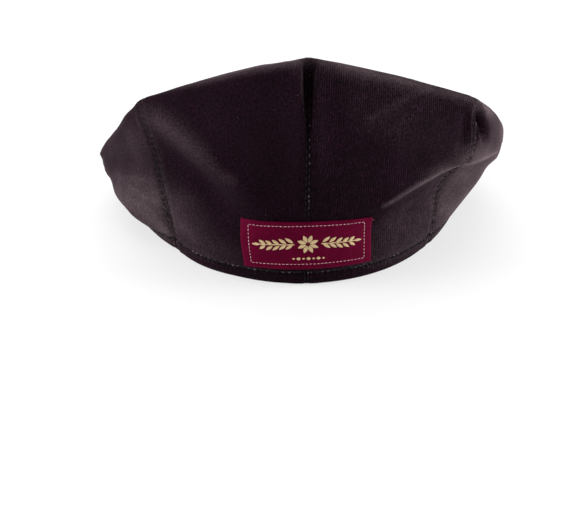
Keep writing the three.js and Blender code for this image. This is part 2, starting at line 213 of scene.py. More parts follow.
# Folds of the cloth along straight lines. "lean" narrows a fold below its line and widens it above.
# The last two columns paint a highlight along the crest: how much lighter the colour is painted, and how
# far. Plain folds leave them out.
FOLD_FIELDS = "from_turn from_up to_turn to_up height width flank lean nap nap_width"
Fold = namedtuple("Fold", FOLD_FIELDS, defaults=(0, 0, 1))
FOLDS = [Fold(*row) for row in (
    (22, 0.368, 66, 0.735, 2.8, 6.5, 1.2, 0.60, 0.58, 1.8),
    (36, 0.50, 54, 0.67, 0, 1.0, 1.0, 0, 0.26, 6.0),
    (62, 0.63, 78, 0.66, 1.3, 7.0, 1.4, 0.30, 0.10, 3.0),
    (64, 0.34, 80, 0.46, 1.2, 7.0, 2.0),
    (22, 0.22, 48, 0.36, -2.5, 9.0, 2.0),
    (-45, 0.88, -17, 0.45, 3.0, 8.0, 2.0, 0, 0.13, 5.5),
    (-46, 0.92, -31, 0.67, 0, 1.0, 1.0, 0, 0.11, 6.0),
    (-44, 0.66, -20, 0.33, -3.4, 8.0, 2.0),
    (49.6, 0.94, 51.4, 0.86, -4.8, 3.0, 3.0),
    (51.6, 0.86, 53.2, 0.80, -4.8, 3.6, 3.0),
    (44.6, 0.88, 44.6, 0.70, -1.6, 3.0, 2.0),
    (16, 0.79, 33.5, 1.0, 0.9, 3.0, 1.6, 0.3, 0.08, 1.6),
    (-84, 1.02, -87, 1.02, -1.4, 5.0, 2.0),
    (-70, 0.73, -49, 0.64, -1.0, 5.0, 2.0),
    (-75, 0.60, -50, 0.47, 0.7, 5.0, 1.6, 0, 0.10, 3.0),
    (-63, 0.49, -49, 0.31, 0.5, 3.0, 1.6, 0, 0.10, 1.8),
    (-86, 0.79, -75, 0.59, 2.0, 6.8, 2.0),
    (-88, 0.91, -86, 0.89, 1.6, 2.6, 1.4, 0, 0.25, 1.2),
    (-65, 0.25, -59, 0.13, 2.2, 5.0, 2.0),
    (-44, 0.03, -26, 0.03, 1.6, 6.0, 2.0),
)]

# Painted light and shade: places where the cloth's colour is painted lighter, or darker where the amount is
# below 0, with the place's middle and its spread
Nap = namedtuple("Nap", "turn up turn_spread up_spread amount")
LIGHT_PATCHES = [Nap(*row) for row in (
    (-72, 0.32, 14, 0.22, 0.35),
    (-56, 0.34, 8, 0.18, 0.42),
    (-58, 0.78, 10, 0.16, 0.12),
    (-84, 0.62, 12, 0.22, 0.08),
    (-88, 0.97, 6, 0.05, 0.14),
    (-57, 0.14, 6, 0.09, 0.20),
    (-50, 0.16, 6, 0.12, 0.06),
    (-51, 0.37, 3, 0.07, 0.14),
    (-52, 0.12, 3, 0.06, 0.28),
    (-40, 0.37, 6, 0.06, 0.08),
    (-42, 0.24, 8, 0.12, 0.13),
    (-36, 0.18, 8, 0.14, 0.07),
    (-26, 0.12, 8, 0.08, 0.08),
    (-28, 1.03, 14, 0.03, 0.24),
    (-26, 1.30, 20, 0.14, 0.40),
    (-20, 0.53, 4, 0.045, 0.11),
    (-8, 1.02, 7, 0.04, 0.30),
    (-1.9, 0.90, 0.30, 0.07, 0.20),
    (-3.5, 0.85, 2.5, 0.25, 0.05),
    (-3, 1.03, 3, 0.04, 0.25),
    (-10, 0.60, 12, 0.24, -0.30),
    (0, 0.02, 26, 0.04, -0.25),
    (9, 1.02, 8, 0.05, 0.34),
    (14, 0.45, 10, 0.18, -0.18),
    (24, 0.16, 10, 0.12, 0.06),
    (24, 0.80, 18, 0.20, 0.045),
    (24, 1.00, 16, 0.045, 0.22),
    (22, 1.03, 14, 0.04, 0.20),
    (28, 1.30, 20, 0.14, 0.25),
    (44, 0.99, 10, 0.035, 0.22),
    (48, 0.67, 4, 0.07, 0.30),
    (54, 0.97, 5, 0.05, 0.60),
    (51.0, 0.87, 1.6, 0.07, -0.15),
    (66, 0.90, 8, 0.10, 0.25),
    (36, 0.08, 14, 0.06, 0.12),
    (25, 0.04, 12, 0.04, 0.12),
    (42, 0.22, 20, 0.12, 0.13),
    (56, 0.46, 8, 0.10, 0.40),
    (57, 0.68, 7, 0.09, 0.40),
    (52, 0.30, 5, 0.10, 0.18),
    (70, 0.22, 16, 0.20, 0.60),
    (80, 0.68, 14, 0.26, 0.90),
)]

# All ribs look fainter round this place up a panel
FAINT_UP = 0.75
FAINT_SPREAD = 0.14
FAINT_MORE = 0.35

# A painted highlight: the cloth's colour is painted lighter along a line just over the hem's stitches
HEM_PAINTED_LIGHT = 0.05
HEM_PAINTED_LIGHT_HEIGHT = 8.9
HEM_PAINTED_LIGHT_SPREAD = 1.2


# Smooth steps and directions, and the plan of the rim


def smoothstep(x, low, high):
    t = np.clip((x - low) / (high - low), 0, 1)
    return t * t * (3 - 2 * t)


def bell(x, width):
    """1 where x is 0, and almost nothing from twice the width on."""
    return np.exp(-((x / width) ** 2))


def unit(vectors):
    return vectors / np.linalg.norm(vectors, axis=-1, keepdims=True)


def outward(turn):
    angle = np.radians(turn)
    return np.stack([-np.sin(angle), np.cos(angle), 0 * angle], -1)


def rim_point(turn):
    turn = np.asarray(turn, float)
    point = outward(turn)
    radius = 1 / np.hypot(point[..., 0] / RIM_HALF_WIDTH, point[..., 1] / RIM_HALF_LENGTH)
    point = point * radius[..., None]
    from_back = 180 - np.abs(turn % 360 - 180)
    point[..., 2] = LIFT * smoothstep(from_back, LIFT_FROM, LIFT_TO)
    return point


# Seam curves


def smooth_curve(points):
    """A curve through points, as a function of the share of its length, and its length."""
    lengths = np.linalg.norm(np.diff(points, axis=0), axis=1)
    total = lengths.sum()
    stations = np.concatenate([[0], np.cumsum(lengths) / total])
    chords = np.diff(points, axis=0) / lengths[:, None] * total
    slopes = np.array([chords[0], *chords])
    share = (lengths[:-1] / (lengths[:-1] + lengths[1:]))[:, None]
    slopes[1:-1] = chords[:-1] * (1 - share) + chords[1:] * share

    def at(station):
        i = np.clip(np.searchsorted(stations, station, side="right") - 1, 0, len(points) - 2)
        step = (stations[i + 1] - stations[i])[..., None]
        t = (station - stations[i])[..., None] / step
        return (
            (2 * t**3 - 3 * t**2 + 1) * points[i]
            + (t**3 - 2 * t**2 + t) * step * slopes[i]
            + (3 * t**2 - 2 * t**3) * points[i + 1]
            + (t**3 - t**2) * step * slopes[i + 1]
        )

    return at, total


class SeamCurve:
    def __init__(self, row):
        self.row = row
        rim = rim_point(row.turn)
        self.profile, self.side_length = smooth_curve(
            np.array([
                [math.hypot(rim[0], rim[1]), rim[2]],
                [row.stand_r, row.stand_z],
                [row.belly_r, row.belly_z],
                [row.corner_r, row.corner_z],
            ])
        )
        self.out = outward(row.turn)
        self.corner = self.out * row.corner_r + [0, 0, row.corner_z]
        self.centre = self.out * CENTRE_RADIUS
        self.centre[2] = CENTRE_HEIGHT + CENTRE_SLOPE * self.centre[1]
        self.top_length = np.linalg.norm(self.corner - self.centre)

    def at(self, up):
        profile = self.profile(np.clip(up, 0, 1))
        side = self.out * profile[..., :1]
        side[..., 2] = profile[..., 1]
        over = np.clip(up - 1, 0, 1)
        top = self.corner + (self.centre - self.corner) * over[..., None]
        top[..., 2] += SEAM_DOME * np.sin(np.pi * over)
        return np.where((up > 1)[..., None], top, side)


CURVES = [SeamCurve(row) for row in SEAMS]


# Panel surface


def panel_edges(index):
    """The seams on both sides of a panel, and the second one's turn, which may pass 360."""
    own = CURVES[index % PANEL_COUNT]
    following = CURVES[(index + 1) % PANEL_COUNT]
    next_turn = following.row.turn + (360 if following.row.turn < own.row.turn else 0)
    return own, following, next_turn


def signed_turn(index, across):
    """The turn that far across a panel, from -180 to 180."""
    own, _, next_turn = panel_edges(index)
    turn = own.row.turn + (next_turn - own.row.turn) * across
    return np.where(turn > 180, turn - 360, turn)


def panel_lengths(index, across):
    own, following, _ = panel_edges(index)
    side = own.side_length + (following.side_length - own.side_length) * across
    top = own.top_length + (following.top_length - own.top_length) * across
    return side, top


def stretched(index, across, up):
    """The cloth between two seams, with a sharp ridge."""
    panel = PANELS[index]
    own, following, next_turn = panel_edges(index)
    turn = own.row.turn + (next_turn - own.row.turn) * across
    share = across[..., None]
    point = own.at(up) * (1 - share) + following.at(up) * share
    chord = rim_point(own.row.turn) * (1 - share) + rim_point(next_turn) * share
    toward_ridge = smoothstep(up, RIM_FORM_TO, RIDGE_FORM_FROM)
    point = point + (rim_point(turn) - chord) * (1 - toward_ridge)[..., None]
    hump = 4 * across * (1 - across)
    over = np.clip(up - 1, 0, 1)
    belly = panel.belly_bow * bell(up - panel.belly_up, panel.belly_spread)
    ridge = panel.ridge_bow * toward_ridge * (1 - over)
    point = point + outward(turn) * ((belly + ridge) * hump)[..., None]
    point[..., 2] += panel.dome * hump * np.sin(np.pi * over)
    point[..., 2] += panel.ridge_rise * hump * smoothstep(up, RISE_FROM, 1) * (1 - over) ** 3
    return point


def ridge_rounding(index, across):
    own, following, _ = panel_edges(index)
    at_seam = own.row.ridge + (following.row.ridge - own.row.ridge) * across
    rounding = at_seam + (RIDGE_AT_MIDDLE - at_seam) * np.sin(np.pi * across) ** 2
    side, top = panel_lengths(index, across)
    return rounding / side, rounding / top


def rounded(index, across, up):
    """The same cloth with its ridge rounded over."""
    below, above = ridge_rounding(index, across)
    plain = stretched(index, across, up)
    ones = np.ones_like(up)
    start = stretched(index, across, ones - below)
    bend = stretched(index, across, ones)
    end = stretched(index, across, ones + above)
    t = np.clip(0.5 + (up - 1) / np.where(up < 1, below, above) / 2, 0, 1)[..., None]
    over = (1 - t) ** 2 * start + 2 * t * (1 - t) * bend + t**2 * end
    inside = (up > 1 - below) & (up < 1 + above)
    return np.where(inside[..., None], over, plain)


def unrolled(turn, up, side):
    """A place on the crown's side as mm round the cap and mm up."""
    return np.stack([np.radians(turn) * FOLD_RADIUS + 0 * side, up * side], -1)


def fold_distance(fold, turn, up, side):
    """Distance in mm from the fold's line, negative below it, and how full the fold is there."""
    start = unrolled(fold.from_turn, fold.from_up, side)
    run = unrolled(fold.to_turn, fold.to_up, side) - start
    offset = unrolled(turn, up, side) - start
    along = np.clip((offset * run).sum(-1) / (run**2).sum(-1), 0, 1)
    offset = offset - run * along[..., None]
    above = np.sign(run[..., 0] * offset[..., 1] - run[..., 1] * offset[..., 0])
    fullness = np.sin(np.pi * (FOLD_END + (1 - 2 * FOLD_END) * along)) ** FOLD_FULLNESS
    return above * np.linalg.norm(offset, axis=-1), fullness


def fold_height(turn, up, side):
    height = np.zeros_like(up)
    for fold in FOLDS:
        distance, fullness = fold_distance(fold, turn, up, side)
        width = fold.width * np.where(distance < 0, 1 - fold.lean, 1 + fold.lean)
        height += fold.height * fullness * np.exp(-((np.abs(distance) / width) ** fold.flank))
    return height


def painted_light_amount(turn, up, side):
    """Painted light and shade: how much lighter, or below 0 darker, the cloth's colour is painted over the
    hem, along fold crests and in the listed patches.
    """
    amount = HEM_PAINTED_LIGHT * bell(up * side - HEM_PAINTED_LIGHT_HEIGHT, HEM_PAINTED_LIGHT_SPREAD)
    for fold in FOLDS:
        distance, fullness = fold_distance(fold, turn, up, side)
        amount = amount + fold.nap * fullness * bell(distance, fold.nap_width)
    for nap in LIGHT_PATCHES:
        far = ((turn - nap.turn) / nap.turn_spread) ** 2 + ((up - nap.up) / nap.up_spread) ** 2
        amount = amount + nap.amount * np.exp(-far)
    return amount


def seam_sink(curve, distance, up, width):
    """How deep the seam lies: a slight dip, and near the ridge a valley that narrows downward."""
    spread = np.where(up < PINCH_UP, PINCH_SPREAD_BELOW, PINCH_SPREAD_ABOVE)
    valley = PINCH_WIDTH_LOW + (PINCH_WIDTH - PINCH_WIDTH_LOW) * smoothstep(up, PINCH_LOW_UP, PINCH_UP)
    pinch = curve.row.pinch * np.exp(-(((up - PINCH_UP) / spread) ** 2) - (distance / valley) ** 8)
    sink = SEAM_SINK * bell(distance, SEAM_SINK_WIDTH)
    return (sink + pinch) * smoothstep(up, 0, SINK_FULL_UP) * np.minimum(1, width / VALLEY_NARROW)


def swell_direction(point, up):
    direction = point - [0, 0, SWELL_HEIGHT]
    direction[..., 2] *= SWELL_UPWARD * smoothstep(up, SWELL_FROM, SWELL_TO)
    return unit(direction)


def seam_relief(distance, rows, along, width, phase):
    """Cloth raised over the seam allowance, drawn in at the seam and under each row of stitches,
    with the small puckers that sewing leaves."""
    raised = ALLOWANCE_HEIGHT * (1 - smoothstep(distance, ALLOWANCE - 2, ALLOWANCE + 2))
    crease = CREASE_DEPTH * bell(distance, CREASE_WIDTH)
    dent = STITCH_DENT * bell(distance - rows, STITCH_DENT_WIDTH)
    pucker = np.sin(along / 1.05 + phase) + 0.6 * np.sin(along / 0.62 + 2 * phase)
    pucker = PUCKER_HEIGHT * pucker * bell(distance - PUCKER_FROM_SEAM, PUCKER_SPREAD)
    return (raised - crease - dent + pucker) * np.minimum(1, width / NARROW)


def soft_waves(index, x, y):
    """Slow undulations of cloth that hangs free."""
    rng = np.random.default_rng(WAVE_SEED + index)
    height = np.zeros_like(x)
    for wavelength in WAVELENGTHS:
        direction = rng.uniform(-WAVE_SPREAD, WAVE_SPREAD)
        phase = rng.uniform(0, 2 * np.pi)
        wave = x * math.cos(direction) + y * math.sin(direction)
        height += WAVE_SHARE * wavelength * np.sin(2 * np.pi * wave / wavelength + phase)
    return height


def hem_tuck(height):
    """How far the turned-up edge is rounded back, at a height over the rim."""
    low = np.clip(HEM_ROUND - height, 0, HEM_ROUND)
    return HEM_ROUND - np.sqrt(np.clip(HEM_ROUND**2 - low**2, 0, None))


def hem_relief(height):
    roll = HEM_ROLL * np.sin(np.pi * np.clip(height / HEM_HEIGHT, 0, 1))
    dent = HEM_DENT * bell(height - HEM_HEIGHT, HEM_DENT_WIDTH)
    return roll - dent - hem_tuck(height)


def near_seam(index, x, width):
    """The distance to the nearer seam, and from that seam to its rows of stitches."""
    own, following, _ = panel_edges(index)
    return width / 2 - np.abs(x), np.where(x < 0, own.row.rows, following.row.rows)


def sewn_and_shaded_strips(index, x, y, up, width):
    """1 on the narrow strips where stitches pucker the cloth, most along the rows of stitches, 0 elsewhere
    and deep in a valley. It raises the puckers, and the material paints shade in their hollows and a
    highlight on their tops.
    """
    own, following, _ = panel_edges(index)
    edge, rows = near_seam(index, x, width)
    depth = np.where(x < 0, seam_sink(own, 0, up, width), seam_sink(following, 0, up, width))
    stitched = bell(edge - rows, STITCH_DENT_WIDTH)
    seam = (0.35 + 0.65 * stitched) * np.exp(-((edge / (rows + 1.1)) ** 4) - (depth / 3) ** 2)
    hem = np.exp(-(((y - HEM_HEIGHT) / HEM_STRIP_WIDTH) ** 4))
    return np.maximum(seam, hem)


def cloth_place(index, across, up):
    """Panel width there, and the cloth's flat coordinates in mm, x from the panel's middle."""
    own, following, _ = panel_edges(index)
    width = np.linalg.norm(following.at(up) - own.at(up), axis=-1)
    side, top = panel_lengths(index, across)
    y = np.where(up < 1, up * side, side + (up - 1) * top)
    return width, (across - 0.5) * width, y


def crown(index, across, up, sewn=True):
    """The crown's outer surface, with its seams and hem sewn or as bare cloth."""
    own, following, next_turn = panel_edges(index)
    point = rounded(index, across, up)
    side, _ = panel_lengths(index, across)
    height = fold_height(signed_turn(index, across), up, side)
    if sewn:
        arc = math.radians(next_turn - own.row.turn) * np.hypot(point[..., 0], point[..., 1])
        height -= seam_sink(own, across * arc, up, arc)
        height -= seam_sink(following, (1 - across) * arc, up, arc)
        width, x, y = cloth_place(index, across, up)
        edge, rows = near_seam(index, x, width)
        phase = np.where(x < 0, index, (index + 1) % PANEL_COUNT) * PUCKER_PHASE
        height += seam_relief(edge, rows, y, width, phase)
        free = smoothstep(y, 6, 30) * smoothstep(edge, 2, 16) * smoothstep(2 - up, 0.02, 0.4)
        height += soft_waves(index, x, y) * free
        height += hem_relief(y)
    return point + swell_direction(point, up) * height[..., None]


# Grids of points: an array of columns, each from below upward


def row_places(index, across):
    side, _ = panel_lengths(index, across)
    below, above = ridge_rounding(index, across)
    hem = np.array(HEM_ROWS) / side
    wall = np.linspace(SIDE_FROM / side, 1 - below, SIDE_ROWS)
    ridge_side = np.linspace(1 - below, 1, RIDGE_ROWS)[1:]
    ridge_top = np.linspace(1, 1 + above, RIDGE_ROWS)[1:]
    top = np.linspace(1 + above, 2, TOP_ROWS)[1:]
    return np.concatenate([hem, wall, ridge_side, ridge_top, top])


def column_places():
    t = np.linspace(0, 1, COLUMNS)
    return t - SEAM_CROWDING * np.sin(2 * np.pi * t) / (2 * np.pi)


def grid_normals(points):
    along_columns = np.gradient(points, axis=0)
    along_rows = np.gradient(points, axis=1)
    normal = np.cross(along_columns, along_rows)
    return normal / (np.linalg.norm(normal, axis=-1, keepdims=True) + 1e-12)


def crown_grids():
    """Each panel's outer points, normals, cloth coordinates and looks, among them its painted light and
    shade. Normals on a seam are shared.
    """
    grids = []
    for index in range(PANEL_COUNT):
        across = column_places()
        up = np.array([row_places(index, a) for a in across])
        across = np.broadcast_to(across[:, None], up.shape)
        points = crown(index, across, up)
        width, x, y = cloth_place(index, across, up)
        side, _ = panel_lengths(index, across)
        grids.append({
            "points": points,
            "normals": grid_normals(points),
            "x": x,
            "y": y,
            # painted light and shade for the cloth's colour
            "nap": painted_light_amount(signed_turn(index, across), up, side),
            "sewn": sewn_and_shaded_strips(index, x, y, up, width),
            "faint": PANELS[index].faint + FAINT_MORE * bell(up - FAINT_UP, FAINT_SPREAD),
        })
    for here, there in zip(grids, grids[1:] + grids[:1]):
        shared = unit(here["normals"][-1] + there["normals"][0])
        here["normals"][-1] = shared
        there["normals"][0] = shared
    return grids


# Placing and making meshes

PEAK_LOW, PEAK_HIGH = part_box("peak")
PEAK_TIP_Y = PEAK_CORNER_Y - PEAK_REACH
ORIGIN = np.array([(PEAK_LOW.x + PEAK_HIGH.x) / 2, PEAK_LOW.y - PEAK_TIP_Y * MM, 0.0])


def placed(points):
    """Points in mm about the rim's middle, in the frame's metres."""
    return np.asarray(points) * MM + ORIGIN


def add_object(name, data):
    obj = bpy.data.objects.new(name, data)
    bpy.context.scene.collection.objects.link(obj)
    return obj


def make_mesh(name, points, faces, uvs=None):
    mesh = bpy.data.meshes.new(name)
    mesh.from_pydata(placed(points).tolist(), [], [list(map(int, f)) for f in faces])
    mesh.polygons.foreach_set("use_smooth", [True] * len(mesh.polygons))
    if uvs is not None:
        layer = mesh.uv_layers.new(name="cloth_mm")
        corner = np.zeros(len(mesh.loops), int)
        mesh.loops.foreach_get("vertex_index", corner)
        layer.uv.foreach_set("vector", np.asarray(uvs, np.float32)[corner].ravel())
    mesh.validate()
    mesh.set_sharp_from_angle(angle=math.radians(SHARP_ANGLE))
    return add_object(name, mesh)


def grid_faces(columns, rows):
    at = np.arange(columns * rows).reshape(columns, rows)
    return np.stack([at[:-1, :-1], at[1:, :-1], at[1:, 1:], at[:-1, 1:]], -1).reshape(-1, 4)


def closed_sheet(name, outer, inner, x, y):
    """A closed body between two grids with the same flat coordinates, and its inner faces' count."""
    at = np.arange(x.size).reshape(x.shape)
    border = np.concatenate([at[:-1, 0], at[-1, :-1], at[:0:-1, -1], at[0, :0:-1]])
    following = np.roll(border, -1)
    edge = np.stack([border, border + x.size, following + x.size, following], -1)
    front = grid_faces(*x.shape)
    back = front[:, ::-1] + x.size
    points = np.concatenate([outer.reshape(-1, 3), inner.reshape(-1, 3)])
    flat = np.stack([x, y], -1).reshape(-1, 2)
    obj = make_mesh(name, points, np.concatenate([front, edge, back]), np.concatenate([flat, flat]))
    return obj, len(back)


def finish_piece(obj, materials, slot, *nodes):
    for material in materials:
        obj.data.materials.append(material)
    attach(obj, "root")
    if nodes:
        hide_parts(*nodes)


def use_second_material(obj, faces):
    slots = np.zeros(len(obj.data.polygons), int)
    slots[faces] = 1
    obj.data.polygons.foreach_set("material_index", slots)


# Materials


class Tree:
    """The nodes of a material or world, and short ways to add more."""

    def __init__(self, owner):
        owner.use_nodes = True
        self.owner = owner
        self.tree = owner.node_tree

    def fill(self, node, inputs):
        """Join or set a node's inputs, by name or number."""
        for place, value in inputs.items():
            if isinstance(value, bpy.types.NodeSocket):
                self.tree.links.new(value, node.inputs[place])
            else:
                node.inputs[place].default_value = value

    def add(self, kind, inputs=None, output=0, **settings):
        """A new node's output, with the node's settings made and its inputs filled."""
        node = self.tree.nodes.new("ShaderNode" + kind)
        for name, value in settings.items():
            setattr(node, name, value)
        self.fill(node, inputs or {})
        return node.outputs[output]

    def math(self, operation, *values):
        return self.add("Math", dict(enumerate(values)), operation=operation)

    def plus(self, first, second):
        return self.math("ADD", first, second)

    def minus(self, first, second):
        return self.math("SUBTRACT", first, second)

    def times(self, first, second):
        return self.math("MULTIPLY", first, second)

    def line(self, value, slope, start):
        """The value times the slope, plus the start."""
        return self.math("MULTIPLY_ADD", value, slope, start)

    def weighed(self, *parts):
        """The sum of values, each times its weight."""
        return functools.reduce(self.plus, [self.times(value, weight) for value, weight in parts])

    def wave(self, place, pitch, shape="SINE"):
        """A wave from -1 to 1 along a place in mm."""
        return self.math(shape, self.times(place, 2 * math.pi / pitch))

    def part(self, vector, name):
        return self.add("SeparateXYZ", {0: vector}, name)

    def cloth(self):
        """The cloth's flat coordinates in mm, as one vector and as across and along."""
        uv = self.add("UVMap", uv_map="cloth_mm")
        return uv, self.part(uv, "X"), self.part(uv, "Y")

    def attribute(self, name):
        return self.add("Attribute", output="Fac", attribute_name=name)

    def place(self, kind):
        return self.add("TexCoord", output=kind)

    def mix(self, share, first, second):
        return self.add("Mix", {"Factor": share, "A": first, "B": second}, "Result", data_type="RGBA")

    def scaled(self, colour, factor):
        return self.add("VectorMath", {0: colour, "Scale": factor}, operation="SCALE")

    def noise(self, vector, scale, detail=2.0, roughness=0.5):
        inputs = {"Vector": vector, "Scale": scale, "Detail": detail, "Roughness": roughness}
        return self.add("TexNoise", inputs, "Fac")

    def ramp(self, value, low, high, to_low=0.0, to_high=1.0):
        inputs = {"Value": value, "From Min": low, "From Max": high, "To Min": to_low, "To Max": to_high}
        return self.add("MapRange", inputs, "Result")

    def bump(self, height, distance, strength=1.0):
        return self.add("Bump", {"Height": height, "Distance": distance, "Strength": strength})

    def finish(self, colour, **inputs):
        """Fill the shader's inputs, whose names have _ for a blank here, and return the material."""
        inputs = {name.replace("_", " "): value for name, value in inputs.items()}
        self.fill(self.tree.nodes["Principled BSDF"], {"Base Color": colour, **inputs})
        return self.owner


def new_material(name):
    return Tree(bpy.data.materials.new(name))


# Distances in mm
WALE_PITCH = 1.25
WEFT_PITCH = 0.62
REVERSE_PITCH = 0.7
LABEL_PICK = 0.42
LABEL_TWILL = 0.5
SATIN_PITCH = 0.34

CORD_DARK = (0.0010, 0.0001, 0.0008, 1)
CORD_LIGHT = (0.0125, 0.0030, 0.0083, 1)
# The colour where light is painted on the cloth, from its darker to its lighter tone
PAINTED_LIT_DARK = (0.044, 0.031, 0.035, 1)
PAINTED_LIT_LIGHT = (0.162, 0.118, 0.132, 1)
# Painted shade in the hollows of the sewn strips, under and between the stitches
PAINTED_SEAM_SHADE = (0.0030, 0.0016, 0.0026, 1)
LINT = (0.10, 0.085, 0.09, 1)


def corduroy_ribs(t, uv, across):
    """The ribs' height: they wander a little, and are lower or fainter in places."""
    across = t.plus(across, t.times(t.noise(uv, 0.09), 1.1))
    rib = t.math("POWER", t.line(t.wave(across, WALE_PITCH, "COSINE"), 0.5, 0.5), 0.6)
    rib = t.times(rib, t.ramp(t.noise(uv, 0.028), 0.38, 0.62, 0.7, 1.0))
    rib = t.times(rib, t.ramp(t.noise(uv, 0.22), 0.35, 0.65, 0.6, 1.15))
    shown = t.minus(1.0, t.attribute("faint"))
    return t.line(t.minus(rib, 0.5), shown, 0.5)


def corduroy_fibre(t, uv):
    """The pile's fibres, longer along the ribs than across them."""
    lengthened = t.add("Mapping", {"Vector": uv, "Scale": (1.0, 0.45, 1.0)})
    return t.noise(lengthened, 2.6, 4.0, 0.65)


def sewn_puckers(t, uv, along, sewn):
    """The puckers on the sewn strips, in the stitches' beat."""
    drawn = t.line(t.wave(along, SEAM_STITCH.pitch), 0.07, t.noise(uv, 0.75, 2.0, 0.6))
    return t.times(sewn, t.ramp(drawn, 0.40, 0.64))


def corduroy_colour(t, uv, rib, fibre, sewn, raised):
    """Dark cloth, lighter on ribs, with grain and single bits of lint, and with painted light and shade:
    lighter or darker where the panels' points say, a painted highlight on the pucker tops and painted shade
    in the sewn strips' hollows.
    """
    patch = t.noise(uv, 0.045, 3.0, 0.6)
    shade = t.weighed((rib, 0.60), (t.ramp(fibre, 0.3, 0.72), 0.20), (t.ramp(patch, 0.3, 0.7), 0.14))
    # Painted light and shade: the panels' painted amount, varied by the patches
    nap = t.times(t.attribute("nap"), t.ramp(patch, 0.25, 0.75, 0.7, 1.2))
    # A painted highlight on the pucker tops
    nap = t.plus(nap, t.times(raised, 0.13))
    # Below 0 the painted amount is painted shade, which darkens the colour
    darker = t.plus(t.math("MINIMUM", nap, 0.0), 1.0)
    nap = t.math("MINIMUM", t.math("MAXIMUM", nap, 0.0), 1.0)
    grain = t.ramp(t.noise(uv, 0.80, 3.0, 0.75), 0.34, 0.66, 0.0, 2.0)
    grain = t.times(grain, t.line(rib, 0.8, 0.63))
    grain_strength = t.math("MAXIMUM", t.line(nap, -3.0, 1.0), 0.42)
    grain = t.times(t.line(t.minus(grain, 1.0), grain_strength, 1.0), darker)
    colour = t.mix(nap, t.mix(shade, CORD_DARK, CORD_LIGHT), t.mix(shade, PAINTED_LIT_DARK, PAINTED_LIT_LIGHT))
    # Painted shade where the sewn strips are drawn in between the puckers
    colour = t.mix(t.times(t.minus(sewn, raised), 0.9), t.scaled(colour, grain), PAINTED_SEAM_SHADE)
    lint = t.ramp(t.noise(uv, 0.95, 1.0), 0.775, 0.80)
    return t.mix(t.times(lint, 0.5), colour, LINT)


def corduroy():
    """Fine ribs along the panel, with pile that lightens at grazing angles, and painted light and shade in
    its colour.
    """
    t = new_material("corduroy")
    uv, across, along = t.cloth()
    rib = corduroy_ribs(t, uv, across)
    fibre = corduroy_fibre(t, uv)
    weft = t.line(t.wave(along, WEFT_PITCH), 0.5, 0.5)
    sewn = t.attribute("sewn")
    raised = sewn_puckers(t, uv, along, sewn)
    height = t.weighed((rib, 0.7), (fibre, 0.5), (weft, 0.08), (raised, 1.6))
    return t.finish(
        corduroy_colour(t, uv, rib, fibre, sewn, raised), Normal=t.bump(height, 0.00022, 0.9),
        Roughness=0.95, Specular_IOR_Level=0.05,
        Sheen_Weight=0.11, Sheen_Roughness=0.25, Sheen_Tint=(0.95, 0.68, 0.78, 1),
    )


def cloth_reverse():
    """The flat back of the cloth, with a plain weave."""
    t = new_material("cloth_reverse")
    uv, across, along = t.cloth()
    weave = t.line(t.times(t.wave(across, REVERSE_PITCH), t.wave(along, REVERSE_PITCH)), 0.5, 0.5)
    fibre = t.noise(uv, 1.6, 4.0, 0.6)
    return t.finish(
        t.mix(t.ramp(fibre, 0.3, 0.7), (0.014, 0.008, 0.011, 1), (0.034, 0.021, 0.027, 1)),
        Normal=t.bump(t.plus(weave, fibre), 0.0002), Roughness=0.9, Specular_IOR_Level=0.2,
        Sheen_Weight=0.2, Sheen_Roughness=0.5,
    )


PLY_SCALE = 620.0


def thread(name, dark, light, sheen, glinting=None):
    """Twisted sewing thread: fine slanting plies along each stitch. Given a glint colour, some stitches get
    painted glints in it.
    """
    t = new_material(name)
    place = t.place("Object")
    twist = {"Vector": place, "Scale": PLY_SCALE, "Distortion": 0.6}
    plies = t.add("TexWave", twist, "Fac", wave_type="BANDS", bands_direction="DIAGONAL")
    colour = t.mix(plies, dark, light)
    if glinting:
        # Painted glints: some stitches are painted a lighter grey
        colour = t.mix(t.ramp(t.noise(place, PLY_SCALE, 1.0), 0.53, 0.63), colour, glinting)
    return t.finish(
        colour, Normal=t.bump(plies, 0.0001, 0.6), Roughness=0.7, Specular_IOR_Level=0.12,
        Sheen_Weight=sheen, Sheen_Roughness=0.4,
    )


def label_weave():
    """Maroon damask: fine horizontal picks crossed by a satin twill."""
    t = new_material("label_weave")
    uv, across, along = t.cloth()
    twill = t.wave(t.plus(across, t.times(along, 0.5)), LABEL_TWILL)
    weave = t.line(t.plus(t.wave(along, LABEL_PICK), twill), 0.25, 0.5)
    wear = t.noise(uv, 0.16, 4.0, 0.65)
    shade = t.weighed((weave, 0.55), (t.ramp(wear, 0.3, 0.7), 0.45))
    colour = t.mix(shade, (0.046, 0.0002, 0.008, 1), (0.115, 0.0008, 0.021, 1))
    return t.finish(colour, Normal=t.bump(weave, 0.00012, 0.8), Roughness=0.62, Specular_IOR_Level=0.02)


def gold_yarn():
    """The label's raised figure, in satin stitch."""
    t = new_material("gold_yarn")
    uv, _, along = t.cloth()
    lines = t.line(t.wave(along, SATIN_PITCH), 0.5, 0.5)
    shade = t.weighed((lines, 0.5), (t.noise(uv, 1.8, 3.0, 0.6), 0.5))
    return t.finish(
        t.mix(shade, (0.36, 0.235, 0.10, 1), (0.66, 0.50, 0.27, 1)),
        Normal=t.bump(lines, 0.0001, 0.7), Roughness=0.5, Specular_IOR_Level=0.35, Sheen_Weight=0.2,
    )


def pale_floor():
    t = new_material("pale_floor")
    grain = t.noise(t.place("Object"), 9.0, 3.0)
    colour = t.mix(grain, (0.34, 0.34, 0.34, 1), (0.36, 0.36, 0.36, 1))
    return t.finish(colour, Roughness=0.7, Emission_Color=(1.0, 1.0, 1.0, 1), Emission_Strength=0.62)


NEAR_BLACK = ((0.0015, 0.001, 0.0013, 1), (0.006, 0.0045, 0.0055, 1))

